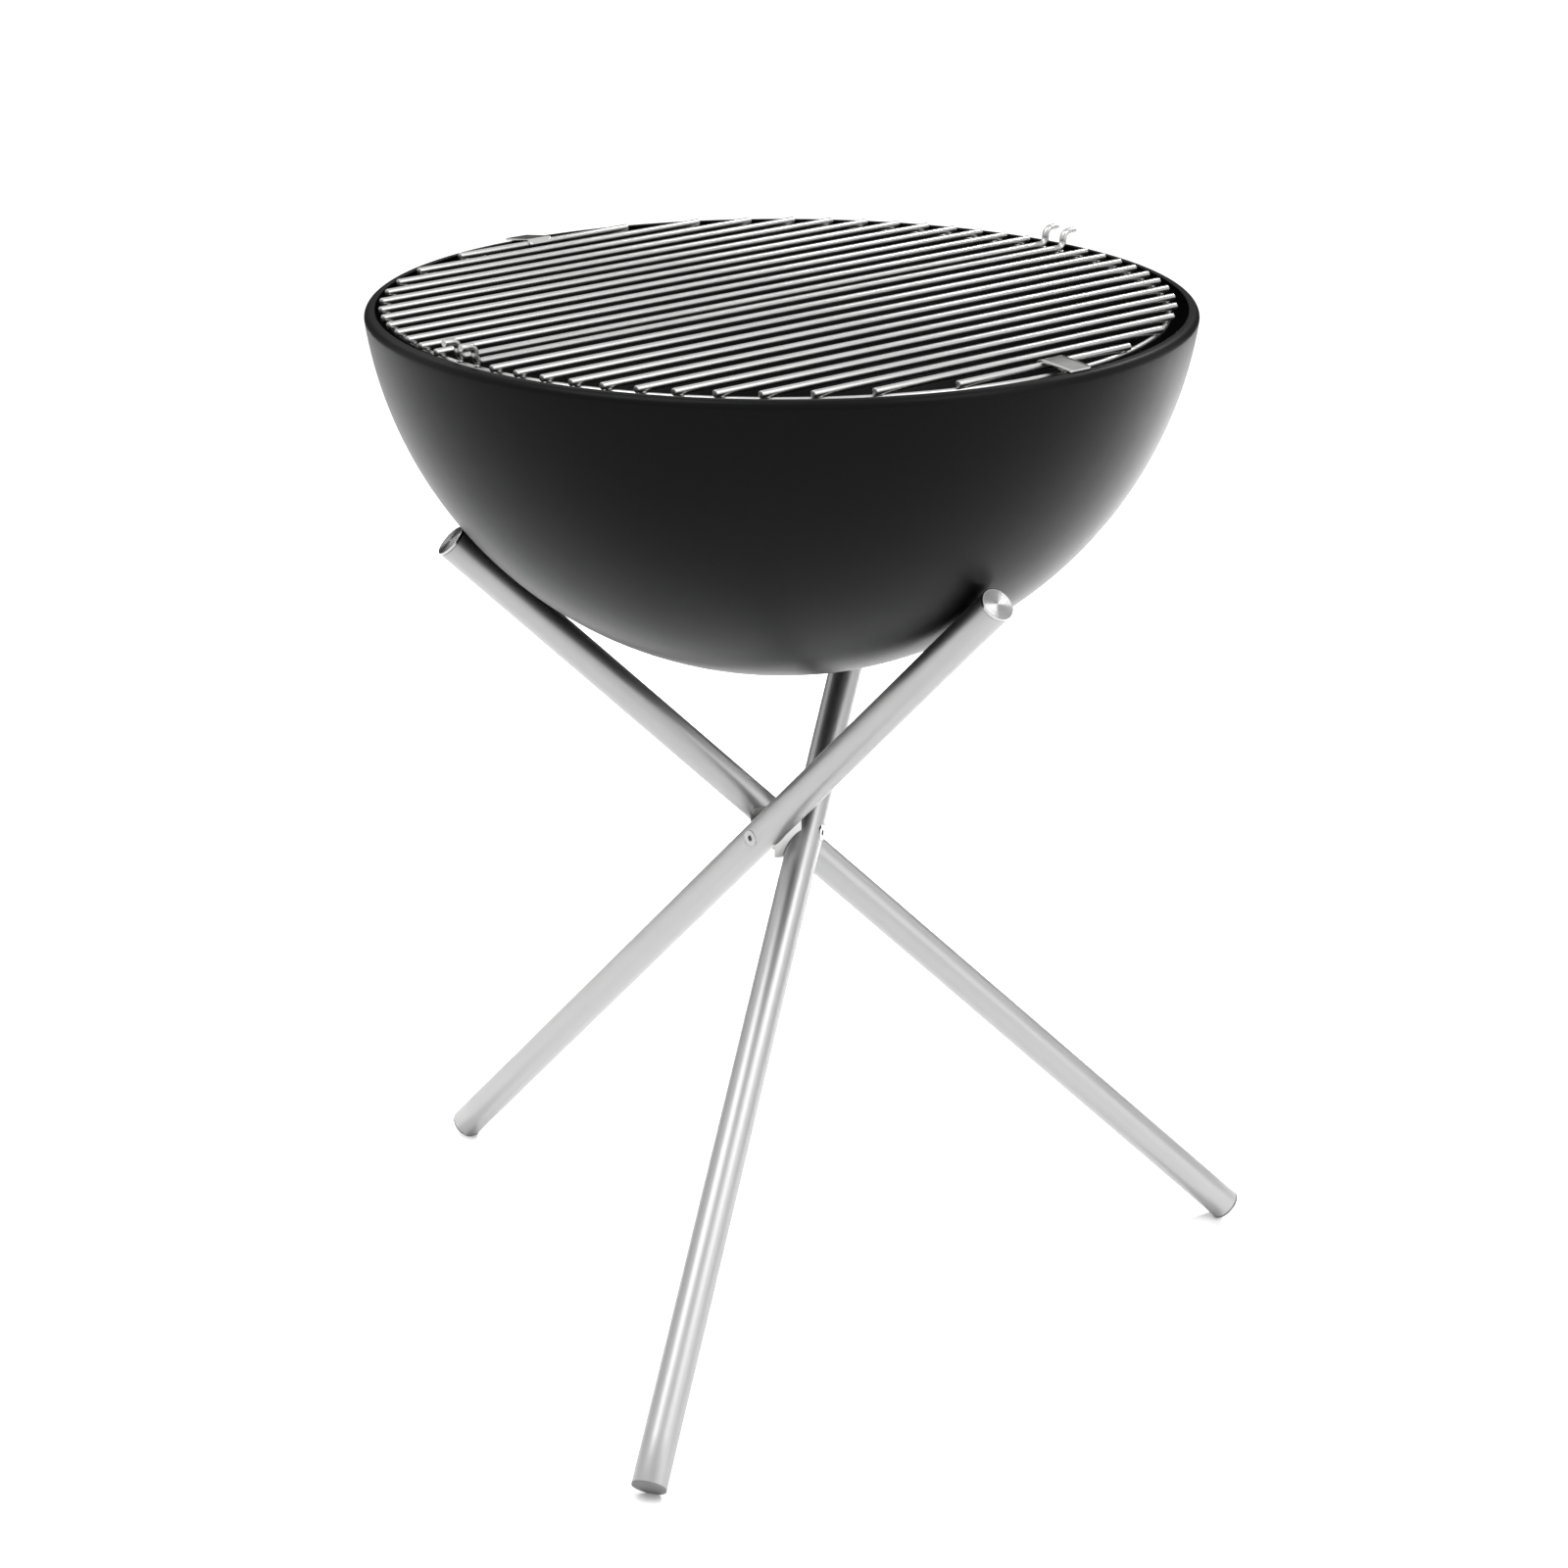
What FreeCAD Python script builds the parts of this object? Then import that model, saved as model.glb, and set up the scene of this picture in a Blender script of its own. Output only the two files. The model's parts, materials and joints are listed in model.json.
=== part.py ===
import FreeCAD, Part

import math
import os

# Kettle charcoal grill: a round-bottomed bowl that sits in the crossing of
# three tubes, with a lift-out cooking grate.  Millimetres.  The origin is on
# the floor under the bowl's axis, +Z is up, and -Y is the grill's front.

UP = FreeCAD.Vector(0, 0, 1)

# Bowl: a pressed steel cap of a sphere with its edge turned inwards.
BOWL_RADIUS = 285.0
BOWL_SHEET = 1.5
RIM_TOP = 728.3
RIM_SHOULDER = 5.5
RIM_LIP = 1.8

# Legs: three tubes that cross at the hub, each pinned on a radial screw.
LEG_COUNT = 3
LEG_AZIMUTH = -18.0
LEG_OFFSET = 18.7
LEG_TILT = 45.9
TUBE_RADIUS = 12.0
TUBE_WALL = 1.5
PIVOT_HEIGHT = 347.0
ABOVE_PIVOT = 318.0
FOOT_TRIM = 0.8
CAP_PLATE = 2.0
FOOT_PLATE = 1.6
PLUG_DEPTH = 18.0
CAP_DEPTH = 10.0

# Hub: a hexagonal block with a fan-shaped slot for each tube.
HUB_FLATS = 40.0
HUB_HALF_HEIGHT = 15.0
HUB_CLEARANCE = 0.4
HUB_CHAMFER = 1.0

# Pivot: an M6 socket screw clamps a sleeve to the hub, and the tube turns on
# the sleeve and on the screw's round head.
SCREW_RADIUS = 3.0
SCREW_TIP = 2.3
HEAD_RADIUS = 6.0
HEAD_HEIGHT = 4.8
HEAD_RECESS = 0.2
SOCKET_FLATS = 4.0
SOCKET_DEPTH = 2.6
SLEEVE_RADIUS = 5.0
SEAT_RADIUS = 5.5
RUNNING_FIT = 0.05
LOOSE_FIT = 0.1

# Cooking grate: two halves of parallel rods welded on a wire ring, with a rest
# tab on each side.  It lies a little off the bowl's axis, across its rods.
GRATE_TURN = 41.2
GRATE_SHIFT = 3.6
ROD_COUNT = 26
ROD_RADIUS = 2.5
ROD_PITCH = 20.5
ROD_MIDDLE_GAP = 17.6
ROD_ABOVE_RIM = 0.3
ROD_OVERHANG = 6.0
ROD_CHAMFER = 0.5
RING_RADIUS = 264.5
RING_WIRE = 2.0
HOOK_RODS = (13, 14)
HOOK_RISE = 11.0
HOOK_REACH = 11.5
HOOK_BEND = 5.2
HOOK_RISER = 266.0
TAB_SHEET = 1.5
TAB_WIDTH = 20.0
TAB_REACH = 26.0
TAB_SHIFT = 6.0
TAB_CURL = 125.0
BODY_GAP = 0.25
WELD_GAP = 0.02


def at(x, y, z):
    """A point or a direction."""
    return FreeCAD.Vector(x, y, z)


def turned(shape, degrees):
    """The shape turned about the grill's own axis."""
    copy = shape.copy()
    copy.rotate(at(0, 0, 0), UP, degrees)
    return copy


def tilt_sine():
    return math.sin(math.radians(LEG_TILT))


def tilt_cosine():
    return math.cos(math.radians(LEG_TILT))


# A leg is modelled with its pivot on the +X axis and is then turned to its
# azimuth, so that its tube leans towards +Y.
PIVOT = at(LEG_OFFSET, 0, PIVOT_HEIGHT)
LEG_AXIS = at(0, tilt_sine(), tilt_cosine())

# The foot's lowest edge is trimmed flat where it stands on the floor.
BELOW_PIVOT = (PIVOT_HEIGHT - TUBE_RADIUS * tilt_sine() + FOOT_TRIM) / tilt_cosine()

# The bowl rests on the three tubes above the hub.
SEATED_REACH = BOWL_RADIUS + TUBE_RADIUS + BODY_GAP
BOWL_CENTRE_Z = PIVOT_HEIGHT + math.sqrt(SEATED_REACH ** 2 - LEG_OFFSET ** 2) / tilt_sine()

# The rim's crest is the top of its shoulder's arc.
SHOULDER_Z = RIM_TOP - RIM_SHOULDER
SHOULDER_REACH = math.sqrt((BOWL_RADIUS - RIM_SHOULDER) ** 2 - (BOWL_CENTRE_Z - SHOULDER_Z) ** 2)

ROD_AXIS_Z = RIM_TOP + ROD_ABOVE_RIM
HALF_COUNT = ROD_COUNT // 2
OUTER_ROD = ROD_MIDDLE_GAP / 2 + (HALF_COUNT - 1) * ROD_PITCH


def rod(start, direction, length, radius):
    """A plain round bar or drill."""
    return Part.makeCylinder(radius, length, start, direction)


def leg_point(distance):
    """A point on the tube's axis, above or below its pivot."""
    return PIVOT + LEG_AXIS * distance


def chamfer_ends(shape, centres, radius, size):
    """Chamfer the circular edges of one radius that are centred on the given points."""
    edges = []
    for edge in shape.Edges:
        if not isinstance(edge.Curve, Part.Circle):
            continue
        if abs(edge.Curve.Radius - radius) > 0.01:
            continue
        if any(edge.Curve.Center.distanceToPoint(c) < 0.01 for c in centres):
            edges.append(edge)
    return shape.makeChamfer(size, edges)


def hex_prism(flats, height, base, direction):
    """A hexagonal prism with two of its flats square to the local X axis."""
    corner = flats / 2.0 / math.cos(math.radians(30))
    points = []
    for k in range(7):
        angle = math.radians(30 + 60 * k)
        points.append(at(corner * math.cos(angle), corner * math.sin(angle), 0))
    prism = Part.Face(Part.makePolygon(points)).extrude(UP * height)
    prism.Placement = FreeCAD.Placement(base, FreeCAD.Rotation(UP, direction))
    return prism


def bowl_shell():
    """The bowl: one wall of even thickness, spun about the vertical axis."""
    inner_radius = BOWL_RADIUS - BOWL_SHEET
    slope = math.atan2(BOWL_CENTRE_Z - SHOULDER_Z, SHOULDER_REACH)

    def on_sphere(radius, angle):
        return at(radius * math.cos(angle), 0, BOWL_CENTRE_Z - radius * math.sin(angle))

    def on_shoulder(radius, angle):
        return at(SHOULDER_REACH + radius * math.cos(angle), 0,
                  SHOULDER_Z + radius * math.sin(angle))

    def wall(radius, shoulder):
        side = (slope + math.pi / 2) / 2
        sphere = Part.Arc(on_sphere(radius, math.pi / 2), on_sphere(radius, side),
                          on_sphere(radius, slope))
        turn = Part.Arc(on_shoulder(shoulder, -slope), on_shoulder(shoulder, math.pi / 4),
                        on_shoulder(shoulder, math.pi / 2))
        return [sphere.toShape(), turn.toShape()]

    inner_shoulder = RIM_SHOULDER - BOWL_SHEET
    lip_top = at(SHOULDER_REACH - RIM_LIP, 0, RIM_TOP)
    lip_under = at(SHOULDER_REACH - RIM_LIP, 0, RIM_TOP - BOWL_SHEET)
    edges = wall(BOWL_RADIUS, RIM_SHOULDER)
    edges.append(Part.makeLine(on_shoulder(RIM_SHOULDER, math.pi / 2), lip_top))
    edges.append(Part.makeLine(lip_top, lip_under))
    edges.append(Part.makeLine(lip_under, on_shoulder(inner_shoulder, math.pi / 2)))
    edges += wall(inner_radius, inner_shoulder)
    edges.append(Part.makeLine(on_sphere(BOWL_RADIUS, math.pi / 2),
                               on_sphere(inner_radius, math.pi / 2)))
    outline = Part.Wire(Part.__sortEdges__(edges))
    return Part.Face(outline).revolve(at(0, 0, 0), UP, 360)


def laid(shape, half_turn=0):
    """A piece of the grate, drawn with its rods along X, where it lies on the rim."""
    copy = turned(shape, half_turn)
    copy.translate(at(0, GRATE_SHIFT, 0))
    return turned(copy, GRATE_TURN)


def rod_offset(number):
    """How far a rod lies from the grate's middle line, towards the back left."""
    if number > HALF_COUNT:
        return -rod_offset(ROD_COUNT + 1 - number)
    return ROD_MIDDLE_GAP / 2 + (HALF_COUNT - number) * ROD_PITCH


def straight_rod(half_length):
    """A grate rod along X, with eased ends."""
    start = at(-half_length, 0, ROD_AXIS_Z)
    shape = rod(start, at(1, 0, 0), 2 * half_length, ROD_RADIUS)
    ends = [start, at(half_length, 0, ROD_AXIS_Z)]
    return chamfer_ends(shape, ends, ROD_RADIUS, ROD_CHAMFER)


def hook_end():
    """One swan-neck end: up from the rod, then outwards over the rim."""
    bend = HOOK_BEND
    low = ROD_AXIS_Z
    high = ROD_AXIS_Z + HOOK_RISE
    diagonal = bend * math.sin(math.radians(45))
    path = [
        Part.makeLine(at(0, 0, low), at(HOOK_RISER - bend, 0, low)),
        Part.Arc(at(HOOK_RISER - bend, 0, low),
                 at(HOOK_RISER - bend + diagonal, 0, low + bend - diagonal),
                 at(HOOK_RISER, 0, low + bend)).toShape(),
        Part.makeLine(at(HOOK_RISER, 0, low + bend), at(HOOK_RISER, 0, high - bend)),
        Part.Arc(at(HOOK_RISER, 0, high - bend),
                 at(HOOK_RISER + bend - diagonal, 0, high - bend + diagonal),
                 at(HOOK_RISER + bend, 0, high)).toShape(),
        Part.makeLine(at(HOOK_RISER + bend, 0, high), at(HOOK_RISER + HOOK_REACH, 0, high)),
    ]
    section = Part.Wire(Part.makeCircle(ROD_RADIUS, at(0, 0, low), at(1, 0, 0)))
    pipe = Part.Wire(path).makePipeShell([section], True, False)
    tip = at(HOOK_RISER + HOOK_REACH, 0, high)
    return chamfer_ends(pipe, [tip], ROD_RADIUS, ROD_CHAMFER)


def hooked_rod():
    """A grate rod with a hook at each end, for lifting the grate."""
    end = hook_end()
    return end.fuse(turned(end, 180)).removeSplitter()


def grate_rod(number):
    """Rod 1 is at the back left, and the last one at the front right."""
    offset = rod_offset(number)
    if number in HOOK_RODS:
        shape = hooked_rod()
    else:
        shape = straight_rod(math.sqrt(RING_RADIUS ** 2 - offset ** 2) + ROD_OVERHANG)
    shape.translate(at(0, offset, 0))
    return laid(shape)


def grate_ring():
    """The wire ring under the rods."""
    height = ROD_AXIS_Z - ROD_RADIUS - RING_WIRE - WELD_GAP
    return laid(Part.makeTorus(RING_RADIUS, RING_WIRE, at(0, 0, height), UP))


def tab_slope(side):
    """How steeply a tab falls from its rod's top to the rim, in degrees."""
    run = SHOULDER_REACH - side * GRATE_SHIFT - OUTER_ROD
    fall = ROD_AXIS_Z - SHOULDER_Z
    larger = RIM_SHOULDER + BODY_GAP - ROD_RADIUS - WELD_GAP
    return math.degrees(math.atan2(fall, run) - math.asin(larger / math.hypot(run, fall)))


def grate_tab(side):
    """A plate curled round an outermost rod, with its free edge resting on the rim."""
    inner = ROD_RADIUS + WELD_GAP
    outer = inner + TAB_SHEET

    def curl(radius, degrees):
        angle = math.radians(90 + degrees)
        return at(0, OUTER_ROD + radius * math.cos(angle), ROD_AXIS_Z + radius * math.sin(angle))

    end = OUTER_ROD + TAB_REACH
    top = ROD_AXIS_Z + outer
    under = ROD_AXIS_Z + inner
    edges = [
        Part.Arc(curl(outer, 0), curl(outer, TAB_CURL / 2), curl(outer, TAB_CURL)).toShape(),
        Part.makeLine(curl(outer, TAB_CURL), curl(inner, TAB_CURL)),
        Part.Arc(curl(inner, TAB_CURL), curl(inner, TAB_CURL / 2), curl(inner, 0)).toShape(),
        Part.makeLine(curl(inner, 0), at(0, end, under)),
        Part.makeLine(at(0, end, under), at(0, end, top)),
        Part.makeLine(at(0, end, top), curl(outer, 0)),
    ]
    plate = Part.Face(Part.Wire(edges)).extrude(at(TAB_WIDTH, 0, 0))
    plate.translate(at(-TAB_WIDTH / 2 - TAB_SHIFT, 0, 0))
    plate.rotate(at(0, OUTER_ROD, ROD_AXIS_Z), at(1, 0, 0), -tab_slope(side))
    return laid(plate, 90 - 90 * side)


def swept_leg():
    """All the room that a leg needs in the hub, from spread to folded."""
    reach = 4 * HUB_HALF_HEIGHT
    radius = TUBE_RADIUS + HUB_CLEARANCE
    room = rod(PIVOT - LEG_AXIS * reach, LEG_AXIS, 2 * reach, radius)
    room = room.fuse(rod(PIVOT - UP * reach, UP, 2 * reach, radius))
    room = room.fuse(Part.makeSphere(radius, PIVOT))
    for side in (1, -1):
        corners = [PIVOT, PIVOT + UP * reach * side, PIVOT + LEG_AXIS * reach * side, PIVOT]
        fan = Part.Face(Part.makePolygon(corners)).extrude(at(2 * radius, 0, 0))
        fan.translate(at(-radius, 0, 0))
        room = room.fuse(fan)
    return room


def screw_bore():
    """The tapped hole and the sleeve's seat, along a leg's pivot axis."""
    tapped = rod(at(SCREW_TIP, 0, PIVOT_HEIGHT), at(1, 0, 0), LEG_OFFSET, SCREW_RADIUS + RUNNING_FIT)
    seat = rod(at(SEAT_RADIUS, 0, PIVOT_HEIGHT), at(1, 0, 0), LEG_OFFSET, SLEEVE_RADIUS + LOOSE_FIT)
    return tapped.fuse(seat)


def hub():
    """The block that holds the three legs and stops them at their spread."""
    base = at(0, 0, PIVOT_HEIGHT - HUB_HALF_HEIGHT)
    block = hex_prism(HUB_FLATS, 2 * HUB_HALF_HEIGHT, base, UP)
    level = [e for e in block.Edges if abs(e.tangentAt(e.FirstParameter).z) < 0.1]
    block = block.makeChamfer(HUB_CHAMFER, level)
    for k in range(LEG_COUNT):
        block = block.cut(turned(swept_leg(), 360.0 / LEG_COUNT * k))
        block = block.cut(turned(screw_bore(), 360.0 / LEG_COUNT * k))
    largest = max(block.Solids, key=lambda solid: solid.Volume)
    return turned(largest, LEG_AZIMUTH)


def leg_tube():
    """A tube with its cross holes for the pivot."""
    start = leg_point(FOOT_PLATE - BELOW_PIVOT)
    length = BELOW_PIVOT + ABOVE_PIVOT - FOOT_PLATE - CAP_PLATE
    shape = rod(start, LEG_AXIS, length, TUBE_RADIUS)
    shape = shape.cut(rod(start, LEG_AXIS, length, TUBE_RADIUS - TUBE_WALL))
    inner_hole = rod(at(0, 0, PIVOT_HEIGHT), at(1, 0, 0), LEG_OFFSET, SLEEVE_RADIUS + RUNNING_FIT)
    outer_hole = rod(PIVOT, at(1, 0, 0), 2 * TUBE_RADIUS, HEAD_RADIUS + RUNNING_FIT)
    return shape.cut(inner_hole).cut(outer_hole)


def top_cap():
    """The plate and plug that close a tube's upper end."""
    start = leg_point(ABOVE_PIVOT - CAP_PLATE)
    end = leg_point(ABOVE_PIVOT)
    plate = rod(start, LEG_AXIS, CAP_PLATE, TUBE_RADIUS)
    plate = chamfer_ends(plate, [end], TUBE_RADIUS, CAP_PLATE / 4)
    plug_start = leg_point(ABOVE_PIVOT - CAP_PLATE - CAP_DEPTH)
    plug = rod(plug_start, LEG_AXIS, CAP_DEPTH, TUBE_RADIUS - TUBE_WALL - RUNNING_FIT)
    return plate.fuse(plug)


def foot_plug():
    """The rubber foot in a tube's lower end, worn flat where it stands."""
    start = leg_point(-BELOW_PIVOT)
    plate = rod(start, LEG_AXIS, FOOT_PLATE, TUBE_RADIUS)
    plug = rod(leg_point(FOOT_PLATE - BELOW_PIVOT), LEG_AXIS, PLUG_DEPTH,
               TUBE_RADIUS - TUBE_WALL - RUNNING_FIT)
    foot = plate.fuse(plug)
    size = 8 * TUBE_RADIUS
    floor = Part.makeBox(size, size, size, at(start.x - size / 2, start.y - size / 2, -size))
    return foot.cut(floor)


def pivot_screw():
    """The socket-head screw of a leg's pivot."""
    top = LEG_OFFSET + TUBE_RADIUS - HEAD_RECESS
    head_start = at(top - HEAD_HEIGHT, 0, PIVOT_HEIGHT)
    head = rod(head_start, at(1, 0, 0), HEAD_HEIGHT, HEAD_RADIUS)
    head = chamfer_ends(head, [at(top, 0, PIVOT_HEIGHT)], HEAD_RADIUS, HEAD_HEIGHT / 8)
    shank = rod(at(SCREW_TIP, 0, PIVOT_HEIGHT), at(1, 0, 0), head_start.x - SCREW_TIP, SCREW_RADIUS)
    socket_start = at(top - SOCKET_DEPTH, 0, PIVOT_HEIGHT)
    socket = hex_prism(SOCKET_FLATS, 2 * SOCKET_DEPTH, socket_start, at(1, 0, 0))
    return head.fuse(shank).cut(socket)


def pivot_sleeve():
    """The spacer that the screw clamps against the hub."""
    start = at(SEAT_RADIUS, 0, PIVOT_HEIGHT)
    length = LEG_OFFSET + TUBE_RADIUS - HEAD_RECESS - HEAD_HEIGHT - SEAT_RADIUS
    outside = rod(start, at(1, 0, 0), length, SLEEVE_RADIUS)
    return outside.cut(rod(start, at(1, 0, 0), length, SCREW_RADIUS + LOOSE_FIT))


def save(name, shape):
    """Write one piece, after checking that it is one sound solid."""
    solids = shape.Solids
    if len(solids) != 1 or not shape.isValid():
        raise ValueError("%s is not one valid solid" % name)
    solids[0].exportStep(os.path.join("parts", name + ".step"))


def main():
    os.makedirs("parts", exist_ok=True)
    save("bowl_shell", bowl_shell())
    for number in range(1, ROD_COUNT + 1):
        save("grate_rod_%02d" % number, grate_rod(number))
    save("grate_ring", grate_ring())
    for number, side in ((1, 1), (2, -1)):
        save("grate_tab_%d" % number, grate_tab(side))
    save("hub", hub())
    for number in range(1, LEG_COUNT + 1):
        azimuth = LEG_AZIMUTH + 360.0 / LEG_COUNT * (number - 1)
        for name, shape in (("leg_tube", leg_tube()), ("top_cap", top_cap()),
                            ("foot_plug", foot_plug()), ("pivot_screw", pivot_screw()),
                            ("pivot_sleeve", pivot_sleeve())):
            save("%s_%d" % (name, number), turned(shape, azimuth))


main()
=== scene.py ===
import json
import math

import bmesh
import bpy
from mathutils import Matrix, Vector


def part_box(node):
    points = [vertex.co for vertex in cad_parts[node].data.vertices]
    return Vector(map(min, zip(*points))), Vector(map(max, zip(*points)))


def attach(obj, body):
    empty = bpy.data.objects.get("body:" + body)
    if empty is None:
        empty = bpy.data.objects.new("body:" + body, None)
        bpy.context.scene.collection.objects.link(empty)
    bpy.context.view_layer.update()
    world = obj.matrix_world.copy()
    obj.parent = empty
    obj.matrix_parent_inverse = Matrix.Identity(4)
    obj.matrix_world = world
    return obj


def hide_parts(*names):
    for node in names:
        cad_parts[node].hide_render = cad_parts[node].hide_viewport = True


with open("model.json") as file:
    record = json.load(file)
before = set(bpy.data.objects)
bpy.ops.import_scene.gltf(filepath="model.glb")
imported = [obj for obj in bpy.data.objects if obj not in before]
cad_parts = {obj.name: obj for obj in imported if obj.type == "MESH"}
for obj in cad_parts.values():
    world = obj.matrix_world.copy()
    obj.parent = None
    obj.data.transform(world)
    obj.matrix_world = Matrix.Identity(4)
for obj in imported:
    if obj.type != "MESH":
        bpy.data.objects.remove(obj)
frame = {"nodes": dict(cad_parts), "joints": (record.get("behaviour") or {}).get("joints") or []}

# Kettle charcoal grill: a bowl in the crossing of three tubes, with a rod grate.
# Metres.  The CAD frame gives where the pieces are.  The sizes below are the pieces' own
# sections and finishing details, then the stage's.

MM = 0.001
UP = Vector((0, 0, 1))
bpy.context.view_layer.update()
JOINTS = {joint["name"]: joint for joint in frame["joints"]}
LEGS = (1, 2, 3)
ROD_COUNT = 26
HOOK_RODS = (13, 14)
TAB_RODS = {1: 1, 2: 26}    # which rod each tab is curled round
GRATE_TURN = math.radians(41.2)

BOWL_SHEET = 1.5 * MM
RIM_SHOULDER = 5.5 * MM
RIM_LIP = 1.8 * MM
BOWL_SEGMENTS = 256
BOWL_RINGS = 56
SHOULDER_STEPS = 12
LIP_STEPS = 8

ROD_RADIUS = 2.5 * MM
ROD_SIDES = 24
ROD_EASE = 0.5 * MM
HOOK_RISER = 266.0 * MM
HOOK_BEND = 5.2 * MM
BEND_STEPS = 12
RING_WIRE = 2.0 * MM
RING_SEGMENTS = 180
WELD_SIZE = (2.6 * MM, 1.7 * MM, 1.2 * MM)
TAB_SHEET = 1.5 * MM
TAB_WRAP_GAP = 0.02 * MM
TAB_CURL = math.radians(125.0)
TAB_CORNER = 2.2 * MM
TAB_EDGE = 0.3 * MM
CURL_STEPS = 12
CORNER_STEPS = 8
TAB_COLUMNS = 6
EASE_STEPS = 3
EASE_ANGLE = math.radians(50)

TUBE_RADIUS = 12.0 * MM
TUBE_WALL = 1.5 * MM
TUBE_SEGMENTS = 128
TUBE_STEPS = 24
TUBE_EDGE = 0.25 * MM
CORNER_SHARE = 0.3          # how far a rounded corner's middle stands in, as a share of its edge
RUNNING_FIT = 0.05 * MM
BORE_RADIUS = TUBE_RADIUS - TUBE_WALL
PLUG_RADIUS = BORE_RADIUS - RUNNING_FIT
CAP_SEAM = 0.18 * MM
CAP_EDGE = 0.45 * MM
CAP_GROOVES = 22
GROOVE_DEPTH = 0.05 * MM
GROOVE_PROFILE = ((0.0, 0.0), (0.25, 0.7), (0.5, 1.0), (0.75, 0.7))    # shares of width and depth
FOOT_EDGE = 0.4 * MM
FOOT_TRIM = 0.8 * MM
END_SEGMENTS = 96
END_STEPS = 4

HEAD_RADIUS = 6.0 * MM
HEAD_HEIGHT = 4.8 * MM
HEAD_RECESS = 0.2 * MM
SOCKET_FLATS = 4.0 * MM
SOCKET_DEPTH = 2.6 * MM
SOCKET_RIM = 0.5 * MM
SOCKET_BEVEL = 0.22 * MM
SOCKET_BEVEL_DEPTH = 0.15 * MM
DRILL_STEP = 0.4 * MM
DRILL_POINT = 0.6 * MM
SCREW_RADIUS = 3.0 * MM
SCREW_EDGE = 0.6 * MM
SCREW_SEGMENTS = 72
SCREW_STEPS = 5
SLEEVE_RADIUS = 5.0 * MM
COUNTERSINK = 0.6 * MM
DRILL_SEGMENTS = 64
CUT_SLIVER = 0.002 * MM
MERGE_DISTANCE = 1e-7
LATHE_TO_SCREW = Matrix.Rotation(math.pi / 2, 4, "Y")

WORLD_WHITE = 1.15
WORLD_CURTAIN = 0.08
CURTAIN_SIDES = (0.5, 0.8)  # directions by their Y, from where it begins to where it is full
CURTAIN_TOP = (0.44, 0.3)   # directions by their Z, the same way
FLOOR_REACH = 30.0
FLOOR_BACK = 3.2
FLOOR_DROP = 0.2 * MM
CAMERA_SENSOR = 36.0
CAMERA_LENS = 92.22
CAMERA_PLACE = (-0.0227, -2.6801, 1.3266)
CAMERA_DOWN = 0.3394
CAMERA_ROLL = -0.0005
CAMERA_TURN = -0.0089


# ---------------------------------------------------------------- places

def node_points(node):
    """All the vertices of a CAD node, in the row frame."""
    return [vertex.co.copy() for vertex in frame["nodes"][node].data.vertices]


def extent(node, direction):
    """How far a CAD node reaches along a direction: (lowest, highest)."""
    reaches = [point.dot(direction) for point in node_points(node)]
    return min(reaches), max(reaches)


def leg_spread(number):
    """How far a leg leans from upright when it is unfolded."""
    return math.radians(JOINTS["leg_%d_fold" % number]["range_deg"][1])


def leg_place(number):
    """A leg's own axes: X outwards along its screw and Z up along its tube."""
    joint = JOINTS["leg_%d_fold" % number]
    outward = Vector(joint["axis"]).normalized()
    along = Matrix.Rotation(-leg_spread(number), 3, outward) @ UP
    place = Matrix((outward, along.cross(outward), along)).transposed().to_4x4()
    place.translation = joint["pos_m"]
    return place


def leg_span(node, place):
    """Where a node starts and ends along its leg's tube, from the pivot."""
    along = place.col[2].to_3d()
    pivot = place.translation.dot(along)
    low, high = extent(node, along)
    return low - pivot, high - pivot


# ---------------------------------------------------------------- shader node groups

class Net:
    """A node tree with short calls for adding and joining nodes."""

    def __init__(self, tree):
        self.tree = tree

    def add(self, kind, **settings):
        node = self.tree.nodes.new(kind)
        for name, value in settings.items():
            setattr(node, name, value)
        return node

    def join(self, source, target):
        self.tree.links.new(source, target)

    def put(self, target, value):
        """A socket gets a link or a constant."""
        if isinstance(value, bpy.types.NodeSocket):
            self.join(value, target)
        else:
            target.default_value = value

    def math(self, operation, first, second=0.0):
        node = self.add("ShaderNodeMath", operation=operation)
        self.put(node.inputs[0], first)
        self.put(node.inputs[1], second)
        return node.outputs[0]

    def blend(self, amount, first, second):
        node = self.add("ShaderNodeMix", data_type="RGBA")
        self.put(node.inputs["Factor"], amount)
        self.put(node.inputs["A"], first)
        self.put(node.inputs["B"], second)
        return node.outputs["Result"]

    def span(self, value, low, high):
        """A 0..1 value spread over low..high."""
        node = self.add("ShaderNodeMapRange")
        self.put(node.inputs["Value"], value)
        self.put(node.inputs["To Min"], low)
        self.put(node.inputs["To Max"], high)
        return node.outputs["Result"]

    def rise(self, value, start, end):
        """0 at start and 1 at end, with a soft step between."""
        node = self.add("ShaderNodeMapRange", interpolation_type="SMOOTHSTEP")
        self.put(node.inputs["Value"], value)
        node.inputs["From Min"].default_value = start
        node.inputs["From Max"].default_value = end
        return node.outputs["Result"]

    def noise(self, vector, scale, detail, roughness=0.5):
        node = self.add("ShaderNodeTexNoise")
        self.put(node.inputs["Vector"], vector)
        self.put(node.inputs["Scale"], scale)
        node.inputs["Detail"].default_value = detail
        node.inputs["Roughness"].default_value = roughness
        return node.outputs["Fac"]


def shader_group(name, sockets_in, sockets_out):
    """A new shader node group with named inputs and outputs."""
    tree = bpy.data.node_groups.new(name, "ShaderNodeTree")
    for label, kind, value in sockets_in:
        socket = tree.interface.new_socket(label, in_out="INPUT", socket_type=kind)
        if value is not None:
            socket.default_value = value
    for label, kind in sockets_out:
        tree.interface.new_socket(label, in_out="OUTPUT", socket_type=kind)
    net = Net(tree)
    return net, net.add("NodeGroupInput").outputs, net.add("NodeGroupOutput").inputs


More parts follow.
